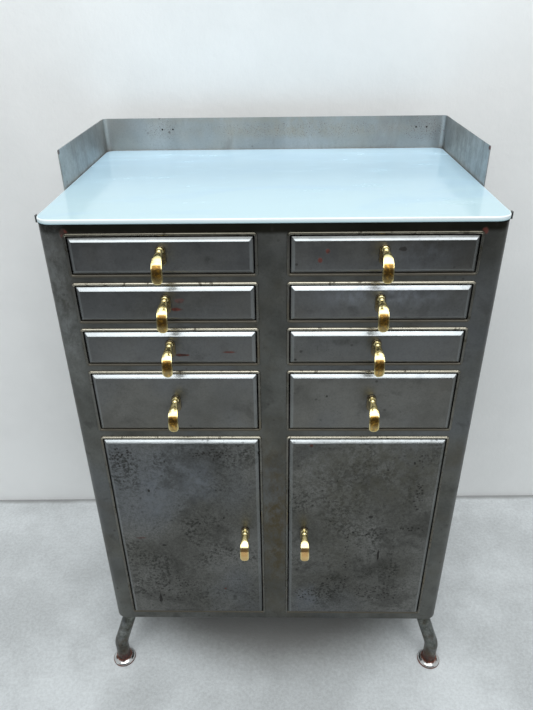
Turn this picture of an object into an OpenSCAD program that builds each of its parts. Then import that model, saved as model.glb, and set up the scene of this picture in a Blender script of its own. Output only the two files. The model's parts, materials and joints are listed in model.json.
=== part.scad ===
// Steel drawer cabinet with a glass top: two columns of four drawers over two cupboards.
//
// Modules draw in a frame with x = 0 on the centre line, y = 0 on the face of the front,
// +y towards the back and z = 0 on the floor. placed() then moves the origin to the
// floor under the middle of the whole cabinet. Left and right are as seen from the front.

/* [Front layout] */
// Width of each opening over its rim
opening_w = 304.5; // [220:0.5:400]
// Height of a shallow drawer's opening over its rim
shallow_h = 74.5; // [64:0.5:110]
// Height of the deep drawer's opening over its rim
deep_h = 132; // [90:1:200]
// Height of a cupboard's opening over its rim
door_h = 506; // [360:1:620]
// Stile between the two columns, rim to rim
centre_stile = 45; // [44:0.5:90]
// Stile at each side, rim to side of the body
side_stile = 40; // [39:0.5:70]
// Rail above the top drawers
top_rail = 12.5; // [11:0.5:40]
// Rail between shallow drawers
drawer_rail = 9; // [8.5:0.5:30]
// Rail above the deep drawers
deep_rail = 10; // [9:0.5:30]
// Rail above the doors
door_rail = 12.5; // [11:0.5:40]
// Rail below the doors
bottom_rail = 23; // [19:0.5:60]
// Width of the half-round rim round each opening
rim_w = 5.6; // [4:0.2:7]
// Outer radius of the rim's corners
rim_corner_r = 6.5; // [6:0.5:10]
// Depth of the lips turned in round each opening
lip_d = 12; // [10.5:0.5:14]

/* [Body] */
// Depth of the body, front face to back
body_d = 485; // [380:1:600]
// Floor to the underside of the body
leg_h = 146.5; // [120:0.5:240]
// Sheet of the body
sheet = 1.2; // [0.8:0.1:1.5]
// Radius of the upright front corners
corner_r = 20; // [16:1:31]
// Radius of the upright rear corners
rear_r = 6; // [3:0.5:12]
// Radius of the lower edges
bottom_edge_r = 5; // [5:0.5:10]
// Width of the flange that holds the back panel
rear_flange = 20; // [14:1:30]
// Distance that the inner panels stand back from the edges of the openings
panel_setback = 2; // [2:0.1:4]

/* [Drawers and doors] */
// Gap between a rim and the front inside it
front_gap = 2; // [1.6:0.1:3]
// Width of the bevel round a front
bevel_w = 6.5; // [4:0.5:12]
// Depth of the bevel
bevel_d = 5; // [2:0.5:7]
// Distance that a front's flat field stands in front of the face
front_proud = 6.5; // [5:0.5:8]
// Distance that a drawer front reaches behind the face
front_back = 2; // [1.5:0.5:5]
// Sheet of the fronts
front_sheet = 1; // [0.8:0.1:1.5]
// Depth of the stops between the drawers and the back
stop_d = 15.3; // [8:0.1:80]
// Sheet of the drawer boxes
box_sheet = 1; // [0.8:0.1:1.5]
// Amount that a box is narrower than its front, each side
box_side = 2; // [1:0.5:4]
// Height of a box's bottom above the bottom of its front
box_rise = 1; // [1:0.5:3]
// Height of a front's top above the rim of its box
box_drop = 8; // [4:0.5:14]
// Width of a runner
runner_w = 16; // [12:1:20]
// Thickness of a runner
runner_t = 2; // [1:0.1:2.2]
// Gap under a drawer and behind it
slide_gap = 0.3; // [0.3:0.1:0.6]
// Width of the stop behind each column of drawers
stop_w = 40; // [20:1:80]
// Depth of a door behind the face, without its liner
door_back = 12; // [9:0.5:14]
// Sheet of the door liners
liner_sheet = 1.2; // [0.8:0.1:1.5]
// Pivot axis to the door's edge
pivot_inset = 12; // [11:0.5:14]
// Pivot axis behind the face
pivot_y = 5; // [4.5:0.1:5.5]
// Radius of a pivot pin
pin_r = 3; // [2:0.1:3.5]
// Length of a pivot pin inside the door
pin_in = 6; // [4:0.5:10]
// Radial gap round a pivot pin
pin_gap = 0.06; // [0.05:0.01:0.1]
// Thickness of a pivot bracket
bracket_t = 3; // [2:0.5:4]
// Height of the shelf above the cupboard floor
shelf_h = 240; // [120:5:320]
// Depth of the shelf's turned-down edges
shelf_lip = 12; // [8:1:20]
// Distance of the shelf behind the door's liner
shelf_setback = 24; // [22:1:60]

/* [Pulls] */
// Height of the post above the middle of a drawer front
pull_rise = 11.5; // [6:0.5:13]
// Distance of the post from a door's free edge
door_pull_in = 30.5; // [24:0.5:60]
// Height of the post above the bottom of a door's rim
door_pull_z = 269.5; // [150:0.5:360]
// Length of the oval backplate
plate_l = 34; // [28:0.5:38]
// Width of the oval backplate
plate_w = 17; // [15:0.5:20]
// Thickness of the backplate
plate_t = 2.5; // [1.5:0.5:3]
// Distance from the post down to the backplate's lower end
plate_down = 27; // [20:0.5:28]
// Radius of the ball that joins post and arm
ball_r = 5.4; // [4.5:0.1:6.5]
// Distance of the ball from the backplate
ball_out = 9; // [7:0.5:12]
// Radius of the arm's outer curve
arm_r = 36; // [32:0.5:42]
// Thickness of the arm at the neck
neck_t = 4.4; // [3.5:0.1:5]
// Thickness of the arm at the tip
tip_t = 3; // [2.5:0.1:3.5]
// Width of the neck
neck_w = 6.5; // [5:0.5:9]
// Width of the paddle
paddle_w = 17.5; // [14:0.5:22]
// Radius of a pull's screw
screw_r = 2; // [1.5:0.1:2.5]

/* [Glass and gallery] */
// Thickness of the glass
glass_t = 8; // [5:0.5:12]
// Overhang of the glass at each side and at the back
glass_side = 1.5; // [0:0.5:6]
// Overhang of the glass at the front
glass_front = 4.5; // [0:0.5:16]
// Radius of the glass's front corners
glass_front_r = 27; // [4:0.5:30]
// Radius of the glass's rear corners
glass_rear_r = 20; // [14:0.5:40]
// Thickness of the pads under the glass
pad_t = 2; // [1.8:0.1:4]
// Radius of the pads under the glass
pad_r = 9; // [5:0.5:14]
// Height of the gallery above the glass
gallery_h = 66.5; // [40:0.5:120]
// Length of the gallery's wings
wing_l = 312.5; // [160:0.5:420]
// Sheet of the gallery
gallery_sheet = 1.5; // [1:0.1:1.7]
// Inner radius of the gallery's bends
gallery_bend_r = 9; // [5:0.5:13]
// Radius of the wings' top corners
wing_corner_r = 3; // [2:0.5:20]
// Width of the flange under the glass
gallery_flange = 20; // [18:0.5:30]
// Gap between glass and gallery
glass_gap = 2.1; // [0.4:0.1:3]
// Radius of the gallery's screw holes
hole_r = 2; // [1.5:0.1:3]
// Distance between the two holes of a pair
hole_pitch = 23; // [12:0.5:40]
// Height of the holes above the glass
hole_z = 43; // [14:0.5:56]
// Left pair of holes, from the centre line
left_pair_x = 232; // [60:1:320]
// Right pair of holes, from the centre line
right_pair_x = 320; // [60:1:325]
// Width of the tabs beside the glass
tab_w = 8; // [5:0.5:20]
// Tab's distance behind the face
tab_y = 19; // [18:0.5:60]

/* [Legs] */
// Radius of the leg tube
tube_r = 15; // [11:0.5:16]
// Leg's top from the side and from the face of the body
leg_inset = 29; // [29:0.5:34]
// Sideways splay of a leg, in x and in y
leg_splay = 29.5; // [10:0.5:45]
// Height of the knee, where the tube turns upright
knee_z = 64; // [50:0.5:80]
// Radius of the knee, on the tube's middle line
knee_r = 34; // [30:0.5:60]
// Radius of a foot
foot_r = 26; // [22:0.5:34]
// Height of a foot
foot_h = 12; // [8:0.5:18]
// Height of a foot's upright edge
foot_edge = 4; // [2:0.5:6]
// Thickness of the mounting plate
mount_t = 3; // [2:0.5:3.5]
// Side of the mounting plate
mount_w = 54; // [50:1:60]
// Radius of the leg bolts
bolt_r = 2.5; // [2:0.1:3]

/* [Hidden] */
$fn = 48;
hull_fn = 32;
tiny = 0.01;
left = -1;
right = 1;
sides = [left, right];
fit = 0.2; // gap between fixed pieces that slip together
hole_gap = 0.3; // gap round a screw in its hole
thread_gap = 0.05; // gap round a screw in its thread

rows = [0, 1, 2, 3];
door_row = 4;
row_h = [shallow_h, shallow_h, shallow_h, deep_h, door_h];
rail_h = [top_rail, drawer_rail, drawer_rail, deep_rail, door_rail, bottom_rail];
function sum_to(list, n) = n < 0 ? 0 : list[n] + sum_to(list, n - 1);

body_h = sum_to(row_h, door_row) + sum_to(rail_h, door_row + 1);
body_w = 2 * (opening_w + side_stile) + centre_stile;
body_top = leg_h + body_h;
shell_z0 = leg_h + bottom_edge_r;
shell_z1 = body_top - sheet;
shell_h = shell_z1 - shell_z0;
function rim_top(row) = body_top - sum_to(rail_h, row) - sum_to(row_h, row - 1);
function rim_bottom(row) = rim_top(row) - row_h[row];
function column_x(side) = side * (centre_stile + opening_w) / 2;

hole_w = opening_w - 2 * rim_w;
inner_x = centre_stile / 2 + rim_w;
outer_x = inner_x + hole_w;
panel_in = inner_x - panel_setback;
panel_out = outer_x + panel_setback;
back_y = body_d - 2 * sheet;
back_panel_x = body_w / 2 - rear_r - fit;

front_inset = rim_w + front_gap;
front_w = opening_w - 2 * front_inset;
function front_z0(row) = rim_bottom(row) + front_inset;
function front_h(row) = row_h[row] - 2 * front_inset;
bevel_a = atan2(bevel_d, bevel_w);
base_y = bevel_d - front_proud;

box_w = front_w - 2 * box_side;
function box_z0(row) = front_z0(row) + box_rise;
function box_h(row) = front_h(row) - box_rise - box_drop;
box_back = back_y - stop_d - slide_gap;

pivot_x = centre_stile / 2 + opening_w - front_inset - pivot_inset;
door_free_x = centre_stile / 2 + front_inset;
lip_top_z = rim_top(door_row) - rim_w + sheet;
lip_bottom_z = rim_bottom(door_row) + rim_w - sheet;
deck_z = lip_top_z + bracket_t;
floor_z = lip_bottom_z - bracket_t;
bracket_w = 26;
bracket_d = 18;
liner_back = door_back + liner_sheet;
liner_lip = 3;
strike_t = 1.5;
strike_w = 24;
strike_h = 14;
strike_drop = 6;
catch_d = 20;
shelf_z = floor_z + shelf_h;
shelf_gap = 1;
peg_r = 3;
peg_l = 10;
peg_ends = [40, 60];

function front_middle(row) = (rim_bottom(row) + rim_top(row)) / 2;
ball_u = plate_t + ball_out;
arm_tip_r = paddle_w / 2;
neck_sink = 0.4;
arm_drop = arm_r - neck_t / 2 - neck_sink;
pull_reach = front_proud + ball_u + arm_r;
collar_r = 5.8;
collar_t = 1.8;
post_r = 4;
screw_head_r = 4;
screw_head_t = 2.2;

glass_w = body_w + 2 * glass_side;
glass_d = body_d + glass_front + glass_side;
glass_z = body_top + pad_t;
glass_top_z = glass_z + glass_t;
gallery_top = glass_top_z + gallery_h;
gallery_in = glass_w / 2 + glass_gap;
gallery_back = body_d + glass_side + glass_gap;
wing_y = body_d + glass_side - wing_l;
gallery_screw_in = gallery_flange / 2 + 2;
gallery_screw_r = 2;
gallery_screw_x = body_w / 2 - gallery_screw_in / 2 - 1;
gallery_screw_y = body_d - gallery_screw_in / 2 - 1;
tab_t = 1.2;
tab_foot = 14;
tab_above = 1.2;
stiffener_h = 12;

knee_a = atan2(leg_splay * sqrt(2), leg_h - knee_z);
knee_tangent = knee_r * tan(knee_a / 2);
// The straight tubes run a little way into the bend, which is a hair fuller
knee_lap = 1;
knee_swell = 0.2;
leg_x = body_w / 2 - leg_inset;
pan_floor = leg_h + sheet;
mount_in = 13;
leg_hole_r = tube_r / cos(knee_a) + sheet;
bolt_places = [[28, 60], [60, 28], [60, 60]];
bolt_head_r = 4.6;
bolt_head_t = 3;

overhang_back = max(glass_side + glass_gap + gallery_sheet, leg_splay - leg_inset + foot_r);
face_y = pull_reach - (pull_reach + body_d + overhang_back) / 2;

side_names = ["left", "right"];
drawer_nodes = [for (s = side_names) for (r = rows) for (p = ["box", "front", "pull"])
    str("drawer_", s, "_", r + 1, "_", p)];
door_nodes = [for (s = side_names) for (p = ["skin", "liner", "pull"]) str("door_", s, "_", p)];
body_nodes = [
    "side_left", "side_right", "face_stiles", "face_rails", "opening_rims", "back_panel",
    "top_panel", "bottom_pan", "liner_left", "liner_right", "centre_partition", "mid_decks",
    "cupboard_floors", "drawer_runners", "drawer_stops", "shelves", "shelf_pegs",
    "hinge_pivots", "door_catches", "gallery", "gallery_screws", "glass_top", "glass_pads",
    "glass_tabs", "leg_front_left", "leg_front_right", "leg_rear_left", "leg_rear_right",
    "feet", "leg_bolts"
];

// ---- helpers ----

module placed() translate([0, face_y, 0]) children();

// A block given by its lowest and highest corners
module block(a, b) translate(a) cube([b.x - a.x, b.y - a.y, b.z - a.z]);

// The same block on both sides, or on the one side named
module block_at(side, a, b) {
    if (side > 0)
        block(a, b);
    else
        block([-b.x, a.y, a.z], [-a.x, b.y, b.z]);
}

// Rounded rectangle with its own front and rear radii: y from 0 to d, centred on x
module round_rect(w, d, front_r, rear_r) {
    translate([-w / 2 + front_r, 0]) square([w - 2 * front_r, d - rear_r]);
    translate([-w / 2, front_r]) square([w, d - front_r - rear_r]);
    translate([-w / 2 + rear_r, d / 2]) square([w - 2 * rear_r, d / 2]);
    for (s = sides) {
        translate([s * (w / 2 - front_r), front_r]) circle(front_r);
        translate([s * (w / 2 - rear_r), d - rear_r]) circle(rear_r);
    }
}

// Quarter of a ring about the origin, in the quadrant of the signs given
module quarter_ring(outer, inner, sx, sy) {
    intersection() {
        difference() {
            circle(outer);
            circle(inner);
        }
        translate([sx < 0 ? -outer : 0, sy < 0 ? -outer : 0]) square(outer);
    }
}

// Half-disc of the rim, bulging along the second axis of the sign given
module half_disc(dir) {
    intersection() {
        circle(rim_w / 2);
        translate([-rim_w / 2, dir < 0 ? -rim_w / 2 : 0]) square([rim_w, rim_w / 2]);
    }
}

// Slab with bevels round its front face: w wide about x = 0, z from 0 to h
module bevelled(w, h, front, base, bevel, back) {
    intersection() {
        linear_extrude(h)
            polygon([
                [-w / 2, back], [-w / 2, base], [-w / 2 + bevel, front],
                [w / 2 - bevel, front], [w / 2, base], [w / 2, back]
            ]);
        rotate([90, 0, 90])
            linear_extrude(w, center = true)
                polygon([
                    [back, 0], [base, 0], [front, bevel],
                    [front, h - bevel], [base, h], [back, h]
                ]);
    }
}

// Sheet pan with bevels, open at the back
module bevelled_pan(w, h, back) {
    t = front_sheet;
    difference() {
        bevelled(w, h, -front_proud, base_y, bevel_w, back);
        translate([0, 0, t])
            bevelled(
                w - 2 * t, h - 2 * t, t - front_proud,
                base_y + t * (1 / cos(bevel_a) - tan(bevel_a)),
                bevel_w - t + t * tan(bevel_a / 2), back + t
            );
    }
}

// Short round bar along y, from y0 to y1
module bar_y(r, y0, y1) translate([0, y0, 0]) rotate([-90, 0, 0]) cylinder(r = r, h = y1 - y0);

// Short round bar along z, from z0 to z1
module bar_z(r, z0, z1) translate([0, 0, z0]) cylinder(r = r, h = z1 - z0);

// ---- body ----

module side_sheet(side) {
    half = body_w / 2;
    color("slategray") placed()
        translate([0, 0, shell_z0]) linear_extrude(shell_h) mirror([side > 0 ? 0 : 1, 0]) {
            translate([half - corner_r, corner_r])
                quarter_ring(corner_r, corner_r - sheet, 1, -1);
            translate([half - sheet, corner_r]) square([sheet, body_d - corner_r - rear_r]);
            translate([half - rear_r, body_d - rear_r])
                quarter_ring(rear_r, rear_r - sheet, 1, 1);
            translate([half - rear_flange, body_d - sheet])
                square([rear_flange - rear_r, sheet]);
        }
}

module face_stiles() {
    flat_x = body_w / 2 - corner_r;
    color("slategray") placed() {
        for (s = sides) {
            block_at(s, [outer_x, 0, shell_z0], [flat_x, sheet, shell_z1]);
            for (row = [0:door_row])
                block_at(s, [outer_x, 0, rim_bottom(row) + rim_w + sheet],
                    [outer_x + sheet, lip_d, rim_top(row) - rim_w - sheet]);
        }
        block([-inner_x, 0, shell_z0], [inner_x, sheet, shell_z1]);
        for (s = sides) for (row = [0:door_row])
            block_at(s, [inner_x - sheet, 0, rim_bottom(row) + rim_w + sheet],
                [inner_x, lip_d, rim_top(row) - rim_w - sheet]);
    }
}

module face_rails() {
    color("slategray") placed()
        difference() {
            for (s = sides) for (n = [0:door_row + 1]) {
                z1 = n == 0 ? shell_z1 : rim_bottom(n - 1) + rim_w;
                z0 = n > door_row ? shell_z0 : rim_top(n) - rim_w;
                block_at(s, [inner_x, 0, z0], [outer_x, sheet, z1]);
                if (n > 0)
                    block_at(s, [inner_x, 0, z1 - sheet], [outer_x, lip_d, z1]);
                if (n <= door_row)
                    block_at(s, [inner_x, 0, z0], [outer_x, lip_d, z0 + sheet]);
            }
            for (s = sides) translate([s * pivot_x, pivot_y, 0]) {
                bar_z(pin_r + pin_gap, lip_top_z - 2 * sheet, lip_top_z + tiny);
                bar_z(pin_r + pin_gap, lip_bottom_z - tiny, lip_bottom_z + 2 * sheet);
            }
        }
}

// Half-round bead round an opening w wide and h high
module rim(w, h) {
    r = rim_w / 2;
    bend = rim_corner_r - r;
    for (s = sides)
        translate([s * (w / 2 - r), 0, rim_corner_r])
            linear_extrude(h - 2 * rim_corner_r) half_disc(-1);
    for (z = [r, h - r])
        translate([-w / 2 + rim_corner_r, 0, z])
            rotate([0, 90, 0]) linear_extrude(w - 2 * rim_corner_r) half_disc(-1);
    for (corner = [[1, 1, 0], [-1, 1, 90], [-1, -1, 180], [1, -1, 270]])
        translate([
            corner.x * (w / 2 - rim_corner_r), 0,
            corner.y > 0 ? h - rim_corner_r : rim_corner_r
        ])
            rotate([90, 0, 0]) rotate([0, 0, corner.z])
                rotate_extrude(angle = 90) translate([bend, 0]) half_disc(1);
}

module opening_rims() {
    color("darkgray") placed()
        for (s = sides) for (row = [0:door_row])
            translate([column_x(s), 0, rim_bottom(row)]) rim(opening_w, row_h[row]);
}

module back_panel() {
    color("slategray") placed()
        block([-back_panel_x, back_y, shell_z0], [back_panel_x, back_y + sheet, shell_z1]);
}

module top_panel() {
    color("slategray") placed()
        difference() {
            union() {
                translate([0, 0, shell_z1])
                    linear_extrude(sheet) round_rect(body_w, body_d, corner_r, rear_r);
                for (s = sides) for (y = [lip_d + fit, back_y - gallery_flange])
                    block_at(s, [panel_in + fit, y, shell_z1 - stiffener_h],
                        [panel_out - fit, y + sheet, shell_z1]);
            }
            gallery_screw_places() bar_z(gallery_screw_r + tiny, shell_z1 - sheet, body_top + sheet);
        }
}

// Solid with the plan of the body and rounded lower edges, drawn in by inset
module pan_form(inset, z0, z1, edge) {
    hull()
        for (s = sides) for (rear = [0, 1]) {
            r = (rear > 0 ? rear_r + edge : corner_r) - inset;
            x = s * (body_w / 2 - inset - r);
            y = rear > 0 ? body_d - inset - r : inset + r;
            translate([x, y, z0])
                rotate_extrude($fn = hull_fn)
                    polygon(concat(
                        [[0, 0]],
                        [for (a = [0:15:90]) [r - edge + edge * sin(a), edge - edge * cos(a)]],
                        [[r, z1 - z0], [0, z1 - z0]]
                    ));
        }
}

module bottom_pan() {
    edge = bottom_edge_r - tiny;
    color("slategray") placed()
        difference() {
            pan_form(0, leg_h, shell_z0, edge);
            pan_form(sheet, pan_floor, shell_z0 + sheet, edge - sheet);
            leg_places() bar_z(leg_hole_r, leg_h - sheet, pan_floor + sheet);
            bolt_at() bar_z(bolt_r + hole_gap, leg_h - sheet, pan_floor + sheet);
        }
}

module liner(side) {
    color("slategray") placed() {
        block_at(side, [panel_out, sheet, shell_z0], [panel_out + sheet, back_y, shell_z1]);
        block_at(side, [panel_out, back_y - sheet, shell_z0], [back_panel_x, back_y, shell_z1]);
    }
}

module centre_partition() {
    color("slategray") placed()
        difference() {
            block([-panel_in, sheet, shell_z0], [panel_in, back_y, shell_z1]);
            block([-panel_in + sheet, 2 * sheet, pan_floor],
                [panel_in - sheet, back_y - sheet, body_top]);
        }
}

module mid_decks() {
    color("slategray") placed()
        for (s = sides)
            block_at(s, [panel_in, sheet, deck_z], [panel_out, back_y, deck_z + sheet]);
}

module cupboard_floors() {
    color("slategray") placed()
        for (s = sides)
            block_at(s, [panel_in, sheet, floor_z - sheet], [panel_out, back_y, floor_z]);
}

module drawer_runners() {
    color("gray") placed()
        for (s = sides) for (row = rows) {
            z1 = box_z0(row) - slide_gap;
            for (x = [panel_in, panel_out - runner_w])
                block_at(s, [x, lip_d, z1 - runner_t], [x + runner_w, box_back, z1]);
        }
}

module drawer_stops() {
    color("gray") placed()
        for (s = sides)
            translate([column_x(s), 0, 0])
                block([-stop_w / 2, back_y - stop_d, deck_z + sheet],
                    [stop_w / 2, back_y, shell_z1 - stiffener_h - sheet]);
}

module shelves() {
    y0 = liner_back + shelf_setback;
    y1 = back_y - shelf_gap;
    color("darkgray") placed()
        for (s = sides) {
            x0 = panel_in + shelf_gap;
            x1 = panel_out - shelf_gap;
            block_at(s, [x0, y0, shelf_z], [x1, y1, shelf_z + sheet]);
            for (y = [y0, y1 - sheet])
                block_at(s, [x0, y, shelf_z - shelf_lip], [x1, y + sheet, shelf_z]);
        }
}

module shelf_pegs() {
    y0 = liner_back + shelf_setback + peg_ends.x;
    y1 = back_y - peg_ends.y;
    color("silver") placed()
        for (s = sides) for (y = [y0, y1]) for (x = [panel_in, panel_out - peg_l])
            translate([s > 0 ? x : -x - peg_l, y, shelf_z - peg_r - fit])
                rotate([0, 90, 0]) cylinder(r = peg_r, h = peg_l);
}

module hinge_pivots() {
    top = [lip_top_z, lip_top_z + bracket_t, front_z0(door_row) + front_h(door_row) - pin_in, lip_top_z];
    bottom = [lip_bottom_z - bracket_t, lip_bottom_z, lip_bottom_z, front_z0(door_row) + pin_in];
    color("silver") placed()
        for (s = sides) for (p = [top, bottom]) {
            translate([s * pivot_x - bracket_w / 2, sheet, p[0]])
                cube([bracket_w, bracket_d, p[1] - p[0]]);
            translate([s * pivot_x, pivot_y, 0]) bar_z(pin_r, p[2], p[3]);
        }
}

module door_catches() {
    y0 = liner_back + strike_t + slide_gap;
    x0 = door_free_x + strike_h;
    color("silver") placed()
        for (s = sides)
            block_at(s, [x0, y0, deck_z - bracket_t - strike_h - strike_drop],
                [x0 + strike_w, y0 + catch_d, deck_z]);
}

// ---- glass and gallery ----

module glass_top() {
    color("lightblue") placed()
        translate([0, -glass_front, glass_z])
            linear_extrude(glass_t) round_rect(glass_w, glass_d, glass_front_r, glass_rear_r);
}

module glass_pads() {
    ys = [3 * pad_r, body_d / 2, body_d - gallery_flange - 2 * pad_r];
    color("dimgray") placed()
        for (x = [-1, 0, 1]) for (y = ys)
            translate([x * (body_w / 2 - corner_r - 2 * pad_r), y, body_top])
                cylinder(r = pad_r, h = pad_t);
}

module glass_tabs() {
    x = glass_w / 2 + fit;
    color("dimgray") placed()
        for (s = sides) {
            block_at(s, [x - tab_foot - tab_t, tab_y - tab_w / 2, body_top],
                [x + tab_t, tab_y + tab_w / 2, body_top + tab_t]);
            block_at(s, [x, tab_y - tab_w / 2, body_top],
                [x + tab_t, tab_y + tab_w / 2, glass_top_z + tab_above]);
        }
}

// U of the gallery in plan, w out from the glass's edge and flange inwards
module gallery_plan(inner) {
    w = 2 * (gallery_in + gallery_sheet);
    r = gallery_bend_r + gallery_sheet;
    y1 = gallery_back + gallery_sheet;
    difference() {
        translate([0, wing_y]) round_rect(w, y1 - wing_y, tiny, r);
        translate([0, wing_y - 1])
            round_rect(w - 2 * inner, y1 - inner - wing_y + 1, tiny, max(r - inner, 1));
    }
}

module gallery() {
    long = 2 * body_w;
    color("slategray") placed()
        difference() {
            translate([0, 0, body_top]) {
                linear_extrude(gallery_top - body_top) gallery_plan(gallery_sheet);
                linear_extrude(gallery_sheet) gallery_plan(gallery_flange);
            }
            difference() {
                block([-long / 2, wing_y - wing_corner_r, gallery_top - wing_corner_r],
                    [long / 2, wing_y + wing_corner_r, gallery_top + wing_corner_r]);
                translate([-long / 2, wing_y + wing_corner_r, gallery_top - wing_corner_r])
                    rotate([0, 90, 0]) cylinder(r = wing_corner_r, h = long);
            }
            for (x = [-left_pair_x, right_pair_x]) for (s = sides)
                translate([x + s * hole_pitch / 2, 0, glass_top_z + hole_z])
                    bar_y(hole_r, gallery_back - 1, gallery_back + gallery_sheet + 1);
            gallery_screw_places()
                bar_z(gallery_screw_r + tiny, body_top - 1, body_top + gallery_sheet + 1);
        }
}

// Screws that hold the gallery's flange to the top panel
module gallery_screw_places() {
    for (s = sides) for (y = [wing_y + wing_l / 8, wing_y + wing_l / 2])
        translate([s * gallery_screw_x, y, 0]) children();
    for (x = [-3, -1, 1, 3])
        translate([x * body_w / 8, gallery_screw_y, 0]) children();
}

module gallery_screws() {
    color("silver") placed()
        gallery_screw_places() {
            bar_z(gallery_screw_r, shell_z1, body_top + gallery_sheet);
            bar_z(2 * gallery_screw_r, shell_z1 - gallery_screw_r, shell_z1);
        }
}

// ---- legs ----

// Puts its children at the top of each leg, with x pointing the way the leg splays
module leg_place(side, rear) {
    y = rear > 0 ? body_d - leg_inset : leg_inset;
    a = rear > 0 ? (side > 0 ? 45 : 135) : (side > 0 ? -45 : -135);
    translate([side * leg_x, y, 0]) rotate([0, 0, a]) children();
}

module leg_places() for (s = sides) for (rear = [0, 1]) leg_place(s, rear) children();

module bolt_place(side, rear) {
    for (p = bolt_places)
        translate([side * (body_w / 2 - p.x), rear > 0 ? body_d - p.y : p.y, 0]) children();
}

module bolt_at() for (s = sides) for (rear = [0, 1]) bolt_place(s, rear) children();

module leg(side, rear) {
    s = leg_splay * sqrt(2);
    far = leg_h;
    color("slategray") placed() {
        difference() {
            union() {
                leg_place(side, rear) {
                    difference() {
                        translate([s, 0, knee_z]) rotate([0, -knee_a, 0])
                            translate([0, 0, knee_tangent - knee_lap]) cylinder(r = tube_r, h = far);
                        block([-far, -far, pan_floor], [far, far, 3 * far]);
                    }
                    translate([s - knee_r, 0, knee_z - knee_tangent])
                        rotate([90, 0, 0])
                            rotate_extrude(angle = knee_a)
                                translate([knee_r, 0]) circle(tube_r + knee_swell);
                    translate([s, 0, 0])
                        bar_z(tube_r, foot_h, knee_z - knee_tangent + knee_lap);
                }
                x = side * (body_w / 2 - mount_in - mount_w / 2);
                y = rear > 0 ? body_d - mount_in - mount_w / 2 : mount_in + mount_w / 2;
                translate([x - mount_w / 2, y - mount_w / 2, pan_floor])
                    cube([mount_w, mount_w, mount_t]);
            }
            bolt_place(side, rear) bar_z(bolt_r + hole_gap, pan_floor - 1, pan_floor + mount_t + 1);
        }
    }
}

module feet() {
    rise = foot_h - foot_edge;
    reach = foot_r - tube_r - 1;
    color("silver") placed()
        leg_places() translate([leg_splay * sqrt(2), 0, 0])
            rotate_extrude()
                polygon(concat(
                    [[0, 0], [foot_r - 1, 0], [foot_r, 1]],
                    [for (a = [0:15:90]) [foot_r - reach + reach * cos(a), foot_edge + rise * sin(a)]],
                    [[0, foot_h]]
                ));
}

module leg_bolts() {
    top = pan_floor + mount_t;
    color("silver") placed()
        bolt_at() {
            bar_z(bolt_r, leg_h - tiny, top + 2 * bolt_head_t);
            translate([0, 0, leg_h - bolt_head_t]) cylinder(r = bolt_head_r, h = bolt_head_t, $fn = 6);
            translate([0, 0, top]) cylinder(r = bolt_head_r, h = bolt_head_t, $fn = 6);
        }
}

// ---- pulls ----

arm_taper = neck_t - tip_t;

// Half the width of the arm, a degrees down its curve
function arm_half(a) = (neck_w + (paddle_w - neck_w) * sin(min(90, a * 1.25))) / 2;

// Side view of the arm: outwards along x, up along y, with the post at the origin
module arm_side() {
    intersection() {
        difference() {
            translate([ball_u, -arm_drop]) circle(arm_r);
            translate([ball_u + arm_taper / 2, -arm_drop - arm_taper / 2])
                circle(arm_r - (neck_t + tip_t) / 2);
        }
        translate([ball_u, -arm_drop - arm_tip_r]) square(2 * arm_r);
    }
}

// Front view of the arm, from the neck to the round tip
module arm_front() {
    ends = [for (a = [0:10:60]) [arm_half(a), arm_r * cos(a) - arm_drop]];
    foot = -arm_drop + arm_tip_r / 3;
    polygon(concat(
        [[neck_w / 2, neck_t]],
        ends,
        [[arm_tip_r, foot], [-arm_tip_r, foot]],
        [for (i = [len(ends) - 1:-1:0]) [-ends[i].x, ends[i].y]],
        [[-neck_w / 2, neck_t]]
    ));
    translate([0, foot]) circle(arm_tip_r);
}

// One pull at the origin: post on the y axis, field of the front at y = -front_proud
module pull() {
    color("goldenrod") translate([0, -front_proud, 0]) {
        difference() {
            union() {
                rotate([90, 0, 0]) {
                    linear_extrude(plate_t) {
                        translate([-plate_w / 2, plate_w / 2 - plate_down])
                            square([plate_w, plate_l - plate_w]);
                        for (y = [plate_w / 2 - plate_down, plate_l - plate_w / 2 - plate_down])
                            translate([0, y]) circle(plate_w / 2);
                    }
                    cylinder(r = post_r, h = ball_u);
                    translate([0, 0, plate_t + collar_t]) cylinder(r = collar_r, h = collar_t);
                    translate([0, 0, ball_u]) sphere(ball_r);
                }
                intersection() {
                    rotate([90, 0, -90])
                        linear_extrude(paddle_w + 2, center = true) arm_side();
                    rotate([90, 0, 0]) linear_extrude(2 * arm_r + ball_u) arm_front();
                }
            }
            bar_y(screw_r + thread_gap, -ball_u, 1);
        }
    }
}

// Screw of a pull, from inside the drawer or door whose inner wall ends at y1
module pull_screw(y1) {
    color("silver") {
        bar_y(screw_r, 1 - front_proud - ball_u, y1);
        bar_y(screw_head_r, y1, y1 + screw_head_t);
    }
}

// ---- drawers ----

module drawer_at(side, row) placed() translate([column_x(side), 0, 0]) children();

module screw_hole(z, y0, y1) translate([0, 0, z]) bar_y(screw_r + hole_gap, y0, y1);

module drawer_front(side, row) {
    z = front_middle(row) + pull_rise;
    color("slategray") drawer_at(side, row)
        difference() {
            translate([0, 0, front_z0(row)]) bevelled_pan(front_w, front_h(row), front_back);
            screw_hole(z, -front_proud - 1, -front_proud + 2 * front_sheet);
        }
}

module drawer_box(side, row) {
    z0 = box_z0(row);
    z = front_middle(row) + pull_rise;
    color("lightslategray") drawer_at(side, row)
        difference() {
            block([-box_w / 2, front_back, z0], [box_w / 2, box_back, z0 + box_h(row)]);
            block([-box_w / 2 + box_sheet, front_back + box_sheet, z0 + box_sheet],
                [box_w / 2 - box_sheet, box_back - box_sheet, z0 + box_h(row) + 1]);
            screw_hole(z, front_back - 1, front_back + 2 * box_sheet);
        }
}

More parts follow.
